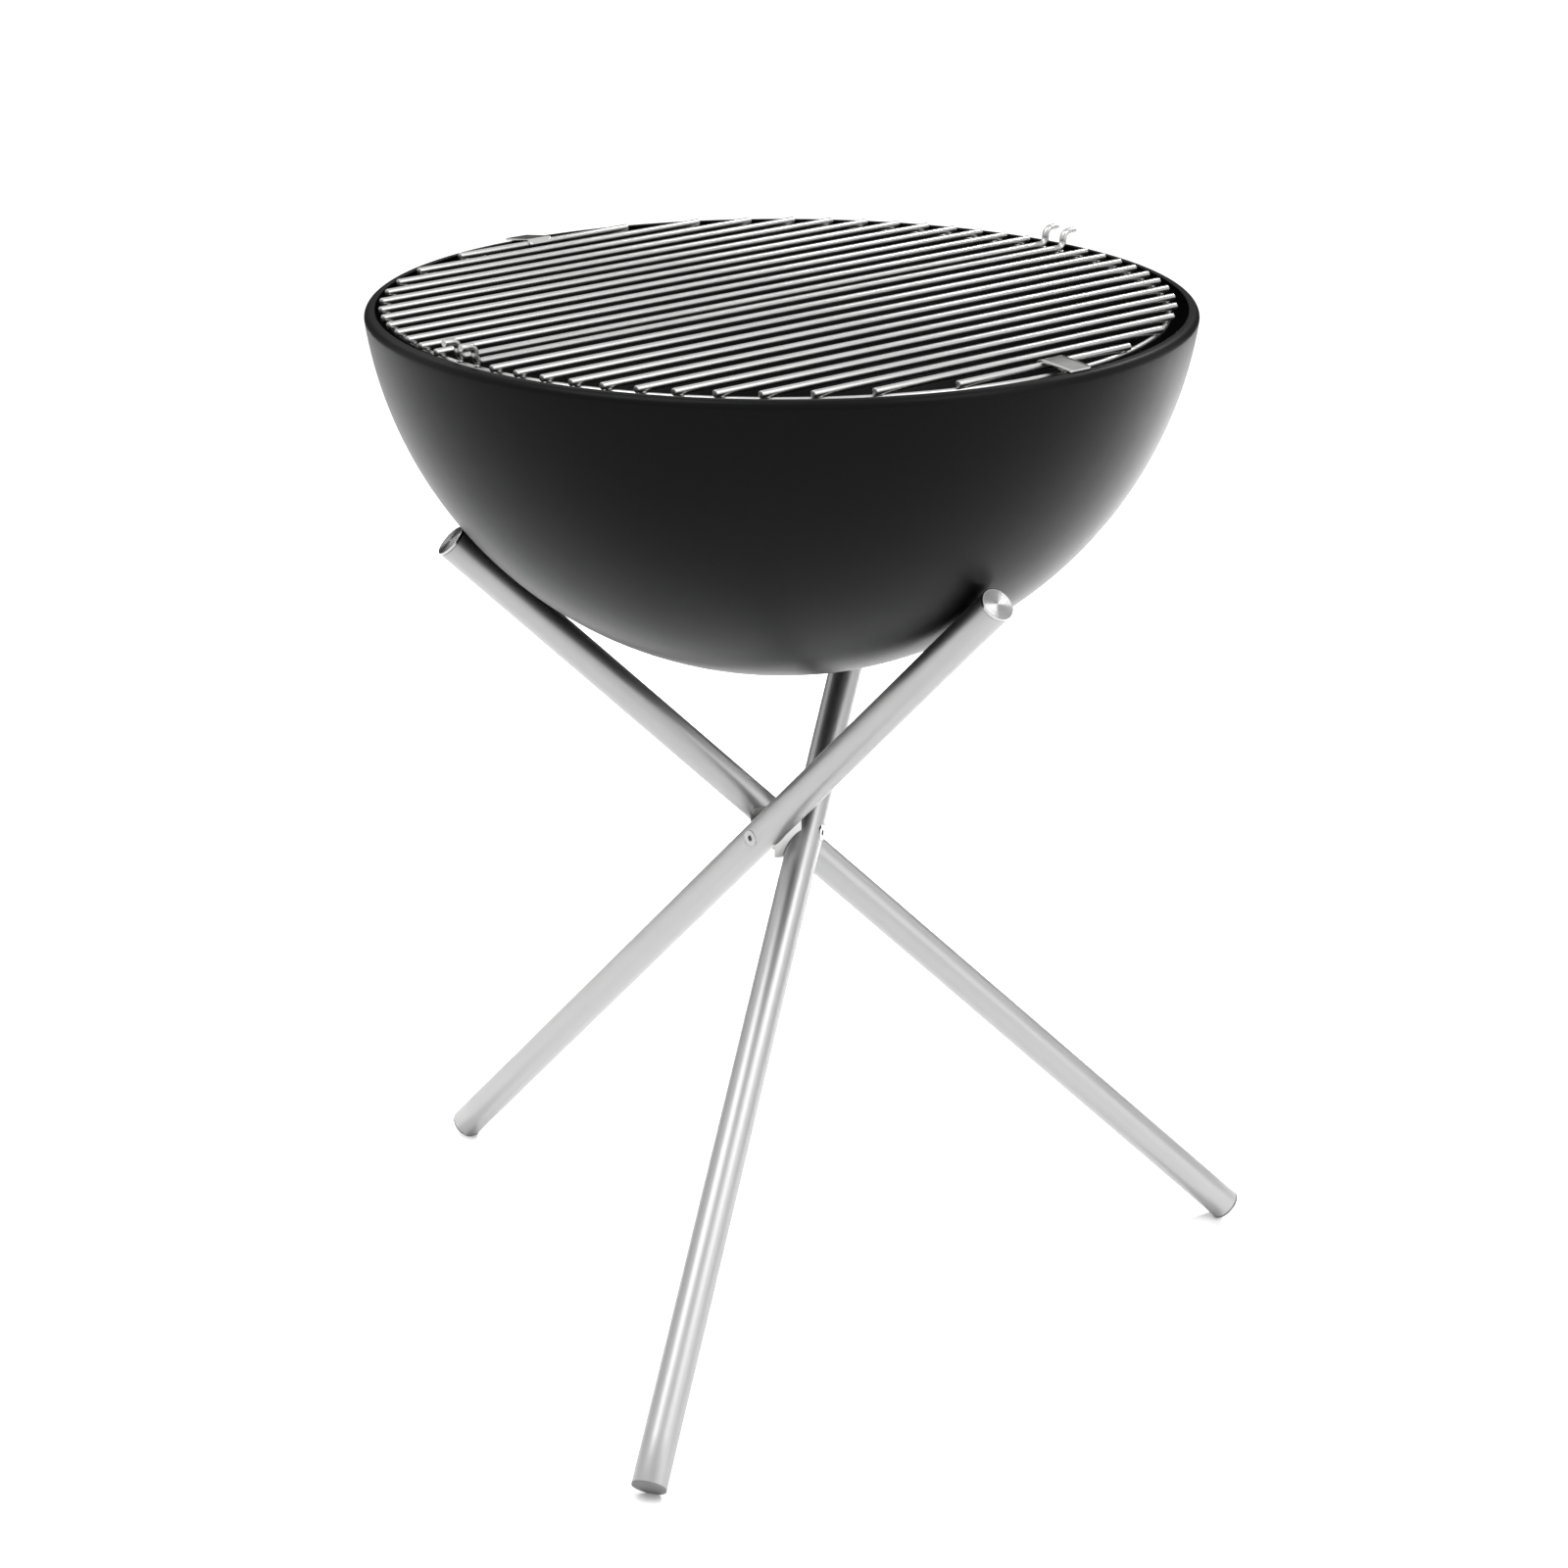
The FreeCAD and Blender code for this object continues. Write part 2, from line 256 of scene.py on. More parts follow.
def brushed_grain_group():
    """Fine scratches that run along Z, over slow changes of the finish."""
    net, source, result = shader_group(
        "brushed grain",
        [("Vector", "NodeSocketVector", None), ("Fineness", "NodeSocketFloat", 2600.0),
         ("Length", "NodeSocketFloat", 0.012), ("Low", "NodeSocketFloat", 0.25),
         ("High", "NodeSocketFloat", 0.4)],
        [("Roughness", "NodeSocketFloat"), ("Height", "NodeSocketFloat"),
         ("Shade", "NodeSocketFloat")])
    stretch = net.add("ShaderNodeVectorMath", operation="MULTIPLY")
    length = net.add("ShaderNodeCombineXYZ")
    length.inputs["X"].default_value = 1.0
    length.inputs["Y"].default_value = 1.0
    net.join(source["Length"], length.inputs["Z"])
    net.join(source["Vector"], stretch.inputs[0])
    net.join(length.outputs[0], stretch.inputs[1])
    fine = net.noise(stretch.outputs[0], source["Fineness"], detail=2.0, roughness=0.6)
    coarse_scale = net.math("MULTIPLY", source["Fineness"], 0.16)
    coarse = net.noise(stretch.outputs[0], coarse_scale, detail=2.0)
    cloud = net.noise(source["Vector"], scale=18.0, detail=2.0)
    streaks = net.math("ADD", net.math("MULTIPLY", fine, 0.6), net.math("MULTIPLY", coarse, 0.4))
    mixed = net.math("ADD", net.math("MULTIPLY", streaks, 0.75), net.math("MULTIPLY", cloud, 0.25))
    node = net.add("ShaderNodeMapRange")
    net.join(mixed, node.inputs["Value"])
    node.inputs["From Min"].default_value = 0.3
    node.inputs["From Max"].default_value = 0.7
    net.join(source["Low"], node.inputs["To Min"])
    net.join(source["High"], node.inputs["To Max"])
    net.join(node.outputs["Result"], result["Roughness"])
    net.join(streaks, result["Height"])
    net.join(mixed, result["Shade"])
    return net.tree


def baked_coat_group():
    """The slight orange peel and the faint dust of a baked coating."""
    net, source, result = shader_group(
        "baked coat",
        [("Vector", "NodeSocketVector", None), ("Peel Scale", "NodeSocketFloat", 700.0),
         ("Dust", "NodeSocketFloat", 0.1)],
        [("Height", "NodeSocketFloat"), ("Patch", "NodeSocketFloat"), ("Dust", "NodeSocketFloat")])
    peel = net.noise(source["Vector"], source["Peel Scale"], detail=3.0, roughness=0.55)
    patch = net.noise(source["Vector"], scale=7.0, detail=3.0)
    speck = net.noise(source["Vector"], scale=1900.0, detail=1.0)
    sparse = net.add("ShaderNodeMapRange")
    net.join(speck, sparse.inputs["Value"])
    sparse.inputs["From Min"].default_value = 0.72
    sparse.inputs["From Max"].default_value = 0.8
    net.join(peel, result["Height"])
    net.join(patch, result["Patch"])
    net.join(net.math("MULTIPLY", sparse.outputs["Result"], source["Dust"]), result["Dust"])
    return net.tree


BRUSHED = brushed_grain_group()
BAKED_COAT = baked_coat_group()


# ---------------------------------------------------------------- materials

def new_material(name):
    """A material with its Principled shader: (material, net, shader inputs)."""
    material = bpy.data.materials.new(name)
    material.use_nodes = True
    net = Net(material.node_tree)
    shader = material.node_tree.nodes["Principled BSDF"].inputs
    return material, net, shader


def object_place(net, turn=None):
    """Object coordinates, turned so that a pattern's Z lies as wanted."""
    place = net.add("ShaderNodeTexCoord").outputs["Object"]
    if turn is None:
        return place
    mapping = net.add("ShaderNodeMapping")
    mapping.inputs["Rotation"].default_value = turn
    net.join(place, mapping.inputs["Vector"])
    return mapping.outputs["Vector"]


def own_place(net):
    """The place on the piece itself, in its leg's or rod's own axes."""
    return net.add("ShaderNodeAttribute", attribute_name="own_place").outputs["Vector"]


def turned_place(net):
    """The distance from the piece's own axis, for marks that run round a turned face."""
    axes = net.add("ShaderNodeSeparateXYZ")
    net.join(own_place(net), axes.inputs[0])
    square = net.math("ADD", net.math("MULTIPLY", axes.outputs["X"], axes.outputs["X"]),
                      net.math("MULTIPLY", axes.outputs["Y"], axes.outputs["Y"]))
    flat = net.add("ShaderNodeCombineXYZ")
    net.join(net.math("SQRT", square), flat.inputs["X"])
    return flat.outputs["Vector"]


def bump(net, height, strength, distance):
    """A normal from a height pattern."""
    node = net.add("ShaderNodeBump")
    node.inputs["Strength"].default_value = strength
    node.inputs["Distance"].default_value = distance
    net.join(height, node.inputs["Height"])
    return node.outputs["Normal"]


def brushed_steel(name, place, dark, light, rough, fineness, length, depth):
    """Stainless steel whose grain runs along the Z of the given place."""
    material, net, shader = new_material(name)
    grain = net.add("ShaderNodeGroup", node_tree=BRUSHED)
    net.join(place(net), grain.inputs["Vector"])
    grain.inputs["Fineness"].default_value = fineness
    grain.inputs["Length"].default_value = length
    grain.inputs["Low"].default_value = rough[0]
    grain.inputs["High"].default_value = rough[1]
    colour = net.blend(grain.outputs["Shade"], dark, light)
    net.join(colour, shader["Base Color"])
    net.join(grain.outputs["Roughness"], shader["Roughness"])
    normal = bump(net, grain.outputs["Height"], strength=depth, distance=0.02 * MM)
    net.join(normal, shader["Normal"])
    shader["Metallic"].default_value = 1.0
    return material


def black_enamel():
    """Satin black baked coating on the pressed bowl."""
    material, net, shader = new_material("black_enamel")
    coat = net.add("ShaderNodeGroup", node_tree=BAKED_COAT)
    net.join(object_place(net), coat.inputs["Vector"])
    coat.inputs["Dust"].default_value = 0.25
    tone = net.blend(coat.outputs["Patch"], (0.0014, 0.0014, 0.0015, 1),
                     (0.0022, 0.0022, 0.0024, 1))
    dusty = net.blend(coat.outputs["Dust"], tone, (0.02, 0.02, 0.02, 1))
    net.join(dusty, shader["Base Color"])
    net.join(net.span(coat.outputs["Patch"], low=0.33, high=0.39), shader["Roughness"])
    normal = bump(net, coat.outputs["Height"], strength=0.25, distance=0.03 * MM)
    net.join(normal, shader["Normal"])
    shader["Specular IOR Level"].default_value = 0.07
    return material


def hub_alloy():
    """Fine-blasted light metal."""
    material, net, shader = new_material("hub_alloy")
    coat = net.add("ShaderNodeGroup", node_tree=BAKED_COAT)
    net.join(object_place(net), coat.inputs["Vector"])
    coat.inputs["Peel Scale"].default_value = 3500.0
    tone = net.blend(coat.outputs["Height"], (0.5, 0.5, 0.5, 1), (0.64, 0.64, 0.63, 1))
    net.join(tone, shader["Base Color"])
    net.join(net.span(coat.outputs["Height"], low=0.36, high=0.52), shader["Roughness"])
    normal = bump(net, coat.outputs["Height"], strength=0.3, distance=0.02 * MM)
    net.join(normal, shader["Normal"])
    shader["Metallic"].default_value = 1.0
    return material


def foot_rubber():
    """Grey moulded rubber with a faint scuffed grain."""
    material, net, shader = new_material("foot_rubber")
    coat = net.add("ShaderNodeGroup", node_tree=BAKED_COAT)
    net.join(object_place(net), coat.inputs["Vector"])
    coat.inputs["Peel Scale"].default_value = 1800.0
    coat.inputs["Dust"].default_value = 0.6
    tone = net.blend(coat.outputs["Height"], (0.1, 0.1, 0.1, 1), (0.15, 0.15, 0.148, 1))
    dusty = net.blend(coat.outputs["Dust"], tone, (0.3, 0.29, 0.28, 1))
    net.join(dusty, shader["Base Color"])
    net.join(net.span(coat.outputs["Height"], low=0.5, high=0.7), shader["Roughness"])
    normal = bump(net, coat.outputs["Height"], strength=0.35, distance=0.05 * MM)
    net.join(normal, shader["Normal"])
    return material


def rod_place(net):
    """Object coordinates with Z along the grate's rods."""
    flat = object_place(net, (0.0, 0.0, -GRATE_TURN))
    mapping = net.add("ShaderNodeMapping")
    mapping.inputs["Rotation"].default_value = (0.0, math.pi / 2, 0.0)
    net.join(flat, mapping.inputs["Vector"])
    return mapping.outputs["Vector"]


ENAMEL = black_enamel()
WIRE = brushed_steel("grate_wire_steel", rod_place,
                     dark=(0.34, 0.34, 0.337, 1), light=(0.45, 0.45, 0.445, 1),
                     rough=(0.28, 0.4), fineness=1500.0, length=0.02, depth=0.35)
TAB_STEEL = brushed_steel("tab_steel", rod_place,
                          dark=(0.42, 0.42, 0.415, 1), light=(0.54, 0.54, 0.53, 1),
                          rough=(0.16, 0.25), fineness=2200.0, length=0.02, depth=0.4)
TUBE_STEEL = brushed_steel("tube_steel", own_place,
                           dark=(0.31, 0.31, 0.31, 1), light=(0.4, 0.4, 0.4, 1),
                           rough=(0.33, 0.44), fineness=2600.0, length=0.012, depth=0.5)
CAP_STEEL = brushed_steel("cap_steel", turned_place,
                          dark=(0.3, 0.3, 0.3, 1), light=(0.62, 0.62, 0.62, 1),
                          rough=(0.1, 0.2), fineness=7000.0, length=0.5, depth=1.0)
SCREW_STEEL = brushed_steel("screw_steel", turned_place,
                            dark=(0.26, 0.26, 0.26, 1), light=(0.46, 0.46, 0.46, 1),
                            rough=(0.16, 0.28), fineness=5000.0, length=0.4, depth=0.5)
SLEEVE_STEEL = brushed_steel("sleeve_steel", object_place,
                             dark=(0.4, 0.4, 0.39, 1), light=(0.56, 0.56, 0.55, 1),
                             rough=(0.25, 0.4), fineness=3000.0, length=0.4, depth=0.3)
ALLOY = hub_alloy()
RUBBER = foot_rubber()


# ---------------------------------------------------------------- mesh helpers

def new_object(name, mesh):
    """An object in the scene for a mesh or a curve."""
    piece = bpy.data.objects.new(name, mesh)
    bpy.context.scene.collection.objects.link(piece)
    return piece


def mesh_from(name, vertices, faces):
    """A mesh with merged doubles and its faces pointing outwards."""
    mesh = bpy.data.meshes.new(name)
    mesh.from_pydata([tuple(v) for v in vertices], [], faces)
    tidy(mesh)
    return mesh


def tidy(mesh):
    """Merges doubled points, then turns the faces outwards."""
    work = bmesh.new()
    work.from_mesh(mesh)
    bmesh.ops.remove_doubles(work, verts=work.verts, dist=MERGE_DISTANCE)
    bmesh.ops.recalc_face_normals(work, faces=work.faces)
    work.to_mesh(mesh)
    work.free()


def settle(piece):
    """The piece's modifiers become its mesh."""
    depsgraph = bpy.context.evaluated_depsgraph_get()
    mesh = bpy.data.meshes.new_from_object(piece.evaluated_get(depsgraph), depsgraph=depsgraph)
    name = piece.name
    bpy.data.objects.remove(piece)
    mesh.name = name
    return new_object(name, mesh)


def ease_edges(piece, width):
    """Rounds the sharp edges of a piece."""
    bevel = piece.modifiers.new("ease", "BEVEL")
    bevel.width = width
    bevel.segments = EASE_STEPS
    bevel.limit_method = "ANGLE"
    bevel.angle_limit = EASE_ANGLE
    return settle(piece)


def smooth(piece, sharp_angle):
    """Smooth shading, with edges above an angle kept crisp."""
    mesh = piece.data
    mesh.polygons.foreach_set("use_smooth", [True] * len(mesh.polygons))
    mesh.set_sharp_from_angle(angle=math.radians(sharp_angle))


def put_in_place(piece, place):
    """Stores each point's own coordinates, then moves the mesh to its place."""
    mesh = piece.data
    own = mesh.attributes.new("own_place", "FLOAT_VECTOR", "POINT")
    flat = [value for vertex in mesh.vertices for value in vertex.co]
    own.data.foreach_set("vector", flat)
    mesh.transform(place)


def finish(piece, material, body, slot, *nodes):
    """The piece gets its material and its body, and any CAD nodes that it stands for are hidden. The
    slot argument is not used.
    """
    piece.data.materials.clear()
    piece.data.materials.append(material)
    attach(piece, body)
    if nodes:
        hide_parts(*nodes)


def round_ring(radius):
    """A ring of the lathe that is a circle."""
    return lambda angle: radius


def hex_ring(flats):
    """A ring of the lathe that follows a hexagon."""
    sixth = math.pi / 3
    return lambda angle: flats / 2 / math.cos((angle + sixth / 2) % sixth - sixth / 2)


def spun(name, rings, segments, closed=False):
    """Rings of (shape, height) about Z, joined into one skin; a bare 0 closes a pole."""
    vertices = []
    starts = []
    for shape, height in rings:
        starts.append(len(vertices))
        if shape == 0:
            vertices.append((0.0, 0.0, height))
            continue
        radius_at = shape if callable(shape) else round_ring(shape)
        for k in range(segments):
            angle = 2 * math.pi * k / segments
            radius = radius_at(angle)
            vertices.append((radius * math.cos(angle), radius * math.sin(angle), height))
    faces = []
    pairs = list(zip(range(len(rings)), range(1, len(rings))))
    if closed:
        pairs.append((len(rings) - 1, 0))
    for low, high in pairs:
        for k in range(segments):
            following = (k + 1) % segments
            corners = []
            for index, ring in ((k, low), (following, low), (following, high), (k, high)):
                offset = 0 if rings[ring][0] == 0 else index
                if starts[ring] + offset not in corners:
                    corners.append(starts[ring] + offset)
            if len(corners) > 2:
                faces.append(corners)
    return new_object(name, mesh_from(name, vertices, faces))


def arc(centre, radius, start, end, count):
    """Points of an arc in the (radius, height) plane, ends included; degrees."""
    points = []
    for k in range(count + 1):
        angle = math.radians(start + (end - start) * k / count)
        points.append((centre[0] + radius * math.cos(angle), centre[1] + radius * math.sin(angle)))
    return points


def clean_cut(mesh):
    """Three-cornered faces all over, with none that is squeezed to a line."""
    work = bmesh.new()
    work.from_mesh(mesh)
    bmesh.ops.triangulate(work, faces=work.faces, ngon_method="BEAUTY")
    bmesh.ops.dissolve_degenerate(work, dist=CUT_SLIVER, edges=work.edges)
    bmesh.ops.triangulate(work, faces=work.faces, ngon_method="BEAUTY")
    work.to_mesh(mesh)
    work.free()


def cut(piece, cutters):
    """Cuts the other objects out of the piece and removes them."""
    for cutter in cutters:
        modifier = piece.modifiers.new("cut", "BOOLEAN")
        modifier.operation = "DIFFERENCE"
        modifier.solver = "EXACT"
        modifier.object = cutter
    piece = settle(piece)
    clean_cut(piece.data)
    for cutter in cutters:
        bpy.data.objects.remove(cutter)
    return piece


# ---------------------------------------------------------------- geometry node trees

class GeoNet(Net):
    """A geometry node tree whose inputs are named sizes."""

    def __init__(self, name, sizes):
        super().__init__(bpy.data.node_groups.new(name, "GeometryNodeTree"))
        self.tree.interface.new_socket("Geometry", in_out="INPUT", socket_type="NodeSocketGeometry")
        for label, kind in sizes:
            self.tree.interface.new_socket(label, in_out="INPUT", socket_type=kind)
        self.tree.interface.new_socket("Geometry", in_out="OUTPUT", socket_type="NodeSocketGeometry")
        self.source = self.add("NodeGroupInput").outputs
        self.result = self.add("NodeGroupOutput").inputs["Geometry"]

    def end(self, geometry):
        """Real faces with their material, as the tree's result."""
        smooth_faces = self.add("GeometryNodeSetShadeSmooth")
        self.join(geometry, smooth_faces.inputs["Geometry"])
        realize = self.add("GeometryNodeRealizeInstances")
        self.join(smooth_faces.outputs["Geometry"], realize.inputs["Geometry"])
        paint = self.add("GeometryNodeSetMaterial")
        self.join(realize.outputs["Geometry"], paint.inputs["Geometry"])
        self.join(self.source["Material"], paint.inputs["Material"])
        self.join(paint.outputs["Geometry"], self.result)
        return self.tree


def bent_wire_tree():
    """Round wire along a path of straight runs, with a bend at each corner."""
    net = GeoNet("bent wire", [("Wire Radius", "NodeSocketFloat"),
                               ("Bend Radius", "NodeSocketFloat"),
                               ("Bend Steps", "NodeSocketInt"), ("Sides", "NodeSocketInt"),
                               ("Material", "NodeSocketMaterial")])
    bends = net.add("GeometryNodeFilletCurve", mode="POLY")
    net.join(net.source["Geometry"], bends.inputs["Curve"])
    net.join(net.source["Bend Steps"], bends.inputs["Count"])
    net.join(net.source["Bend Radius"], bends.inputs["Radius"])
    section = net.add("GeometryNodeCurvePrimitiveCircle")
    net.join(net.source["Sides"], section.inputs["Resolution"])
    net.join(net.source["Wire Radius"], section.inputs["Radius"])
    skin = net.add("GeometryNodeCurveToMesh")
    net.join(bends.outputs["Curve"], skin.inputs["Curve"])
    net.join(section.outputs["Curve"], skin.inputs["Profile Curve"])
    skin.inputs["Fill Caps"].default_value = True
    return net.end(skin.outputs["Mesh"])


def weld_row_tree():
    """Weld nuggets where a row of parallel rods crosses a ring."""
    net = GeoNet("weld row", [("Rod Count", "NodeSocketInt"), ("Pitch", "NodeSocketFloat"),
                              ("Middle Gap", "NodeSocketFloat"), ("Ring Radius", "NodeSocketFloat"),
                              ("Centre", "NodeSocketVector"), ("Turn", "NodeSocketFloat"),
                              ("Nugget", "NodeSocketVector"), ("Material", "NodeSocketMaterial")])
    row = net.add("GeometryNodeMeshLine")
    net.join(net.source["Rod Count"], row.inputs["Count"])
    index = net.add("GeometryNodeInputIndex").outputs["Index"]
    last = net.math("SUBTRACT", net.source["Rod Count"], 1.0)
    place = net.math("SUBTRACT", net.math("MULTIPLY", last, 0.5), index)
    even = net.math("MULTIPLY", place, net.source["Pitch"])
    shift = net.math("SUBTRACT", net.source["Middle Gap"], net.source["Pitch"])
    closer = net.math("MULTIPLY", shift, 0.5)
    across = net.math("ADD", even, net.math("MULTIPLY", net.math("SIGN", place), closer))
    radius = net.source["Ring Radius"]
    square = net.math("SUBTRACT", net.math("MULTIPLY", radius, radius),
                      net.math("MULTIPLY", across, across))
    along = net.math("SQRT", square)
    ends = net.add("GeometryNodeJoinGeometry")
    for side in (1.0, -1.0):
        spot = net.add("ShaderNodeCombineXYZ")
        net.join(net.math("MULTIPLY", along, side), spot.inputs["X"])
        net.join(across, spot.inputs["Y"])
        placed = net.add("GeometryNodeSetPosition")
        net.join(row.outputs["Mesh"], placed.inputs["Geometry"])
        net.join(spot.outputs["Vector"], placed.inputs["Position"])
        net.join(placed.outputs["Geometry"], ends.inputs["Geometry"])
    nugget = net.add("GeometryNodeMeshIcoSphere")
    nugget.inputs["Radius"].default_value = 1.0
    nugget.inputs["Subdivisions"].default_value = 2
    beads = net.add("GeometryNodeInstanceOnPoints")
    net.join(ends.outputs["Geometry"], beads.inputs["Points"])
    net.join(nugget.outputs["Mesh"], beads.inputs["Instance"])
    net.join(net.source["Nugget"], beads.inputs["Scale"])
    turn = net.add("ShaderNodeCombineXYZ")
    net.join(net.source["Turn"], turn.inputs["Z"])
    turned = net.add("GeometryNodeTransform")
    net.join(beads.outputs["Instances"], turned.inputs["Geometry"])
    net.join(turn.outputs["Vector"], turned.inputs["Rotation"])
    net.join(net.source["Centre"], turned.inputs["Translation"])
    return net.end(turned.outputs["Geometry"])


def grow(piece, tree, **sizes):
    """Runs a geometry node tree on the piece, with its sizes by name."""
    modifier = piece.modifiers.new(tree.name, "NODES")
    modifier.node_group = tree
    sockets = {item.name.lower().replace(" ", "_"): item.identifier
               for item in tree.interface.items_tree if item.in_out == "INPUT"}
    for name, value in sizes.items():
        modifier[sockets[name]] = value


BENT_WIRE = bent_wire_tree()
WELD_ROW = weld_row_tree()


def wire_path(name, points, closed=False):
    """A curve of straight runs through the points."""
    curve = bpy.data.curves.new(name, "CURVE")
    curve.dimensions = "3D"
    spline = curve.splines.new("POLY")
    spline.points.add(len(points) - 1)
    for target, point in zip(spline.points, points):
        target.co = (*point, 1.0)
    spline.use_cyclic_u = closed
    return new_object(name, curve)


# ---------------------------------------------------------------- bowl

def bowl_rings():
    """The bowl's wall: outside, rolled shoulder, rounded sheet edge and inside."""
    low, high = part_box("bowl_shell")
    widest = high[0]
    reach = widest - RIM_SHOULDER
    drop = low[2] - (high[2] - RIM_SHOULDER)
    radius = (reach ** 2 + drop ** 2 - RIM_SHOULDER ** 2) / (-2 * RIM_SHOULDER - 2 * drop)
    centre_z = low[2] + radius
    shoulder = (reach, high[2] - RIM_SHOULDER)
    slope = math.degrees(math.atan2(centre_z - shoulder[1], reach))
    inner = RIM_SHOULDER - BOWL_SHEET
    edge = (reach - RIM_LIP + BOWL_SHEET / 2, high[2] - BOWL_SHEET / 2)
    points = arc((0, centre_z), radius, -90, -slope, BOWL_RINGS)
    points += arc(shoulder, RIM_SHOULDER, -slope, 90, SHOULDER_STEPS)[1:]
    points += arc(edge, BOWL_SHEET / 2, 90, 270, LIP_STEPS)
    points += arc(shoulder, inner, 90, -slope, SHOULDER_STEPS)
    points += arc((0, centre_z), radius - BOWL_SHEET, -slope, -90, BOWL_RINGS)[1:]
    points[0] = (0, points[0][1])
    points[-1] = (0, points[-1][1])
    return points


def make_bowl():
    """The enamelled shell, turned from its wall's outline."""
    bowl = spun("bowl", bowl_rings(), BOWL_SEGMENTS)
    smooth(bowl, sharp_angle=60.0)
    finish(bowl, ENAMEL, "bowl", "bowl_enamel", "bowl_shell")


# ---------------------------------------------------------------- grate

ALONG_RODS = Vector((math.cos(GRATE_TURN), math.sin(GRATE_TURN), 0))
ACROSS_RODS = Vector((-math.sin(GRATE_TURN), math.cos(GRATE_TURN), 0))
GRATE_MIDDLE = (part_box("grate_ring")[0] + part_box("grate_ring")[1]) / 2


def grate_point(along, across, height):
    """A point by its distances along and across the rods and its height."""
    return ALONG_RODS * along + ACROSS_RODS * across + UP * height


def rod_across(number):
    """A rod's place across the grate, from the bowl's axis."""
    return sum(extent("grate_rod_%02d" % number, ACROSS_RODS)) / 2


def make_rod(number):
    """One rod of the grate; the middle two are bent into hooks at both ends."""
    node = "grate_rod_%02d" % number
    end = extent(node, ALONG_RODS)[1]
    across = rod_across(number)
    low, high = extent(node, UP)
    low += ROD_RADIUS
    high -= ROD_RADIUS
    if number in HOOK_RODS:
        half = [(end, high), (HOOK_RISER, high), (HOOK_RISER, low)]
    else:
        half = [(end, low)]
    stations = [(-along, height) for along, height in half] + half[::-1]
    points = [grate_point(along, across, height) for along, height in stations]
    rod = wire_path("rod_%02d" % number, points)
    grow(rod, BENT_WIRE, wire_radius=ROD_RADIUS, bend_radius=HOOK_BEND, bend_steps=BEND_STEPS,
         sides=ROD_SIDES, material=WIRE)
    rod = settle(rod)
    tidy(rod.data)
    rod = ease_edges(rod, ROD_EASE)
    smooth(rod, sharp_angle=50.0)
    finish(rod, WIRE, "grate", "grate_wire", node)


def ring_radius():
    """The radius of the ring's wire, at its middle."""
    low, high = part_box("grate_ring")
    return (high[0] - low[0]) / 2 - RING_WIRE


def make_ring():
    """The wire ring under the rods."""
    radius = ring_radius()
    points = []
    for k in range(RING_SEGMENTS):
        angle = 2 * math.pi * k / RING_SEGMENTS
        points.append(GRATE_MIDDLE + Vector((radius * math.cos(angle), radius * math.sin(angle), 0)))
    ring = wire_path("ring", points, closed=True)
    grow(ring, BENT_WIRE, wire_radius=RING_WIRE, bend_radius=0.0, bend_steps=1,
         sides=ROD_SIDES, material=WIRE)
    ring = settle(ring)
    finish(ring, WIRE, "grate", "grate_wire", "grate_ring")


def make_welds():
    """The nuggets that join every rod to the ring."""
    first, second = (rod_across(number) for number in (1, 2))
    left, right = (rod_across(number) for number in HOOK_RODS)
    welds = new_object("rod_welds", bpy.data.meshes.new("rod_welds"))
    grow(welds, WELD_ROW, rod_count=ROD_COUNT, pitch=first - second, middle_gap=left - right,
         ring_radius=ring_radius(), centre=GRATE_MIDDLE + UP * RING_WIRE, turn=GRATE_TURN,
         nugget=WELD_SIZE, material=WIRE)
    welds = settle(welds)
    finish(welds, WIRE, "grate", "grate_wire")


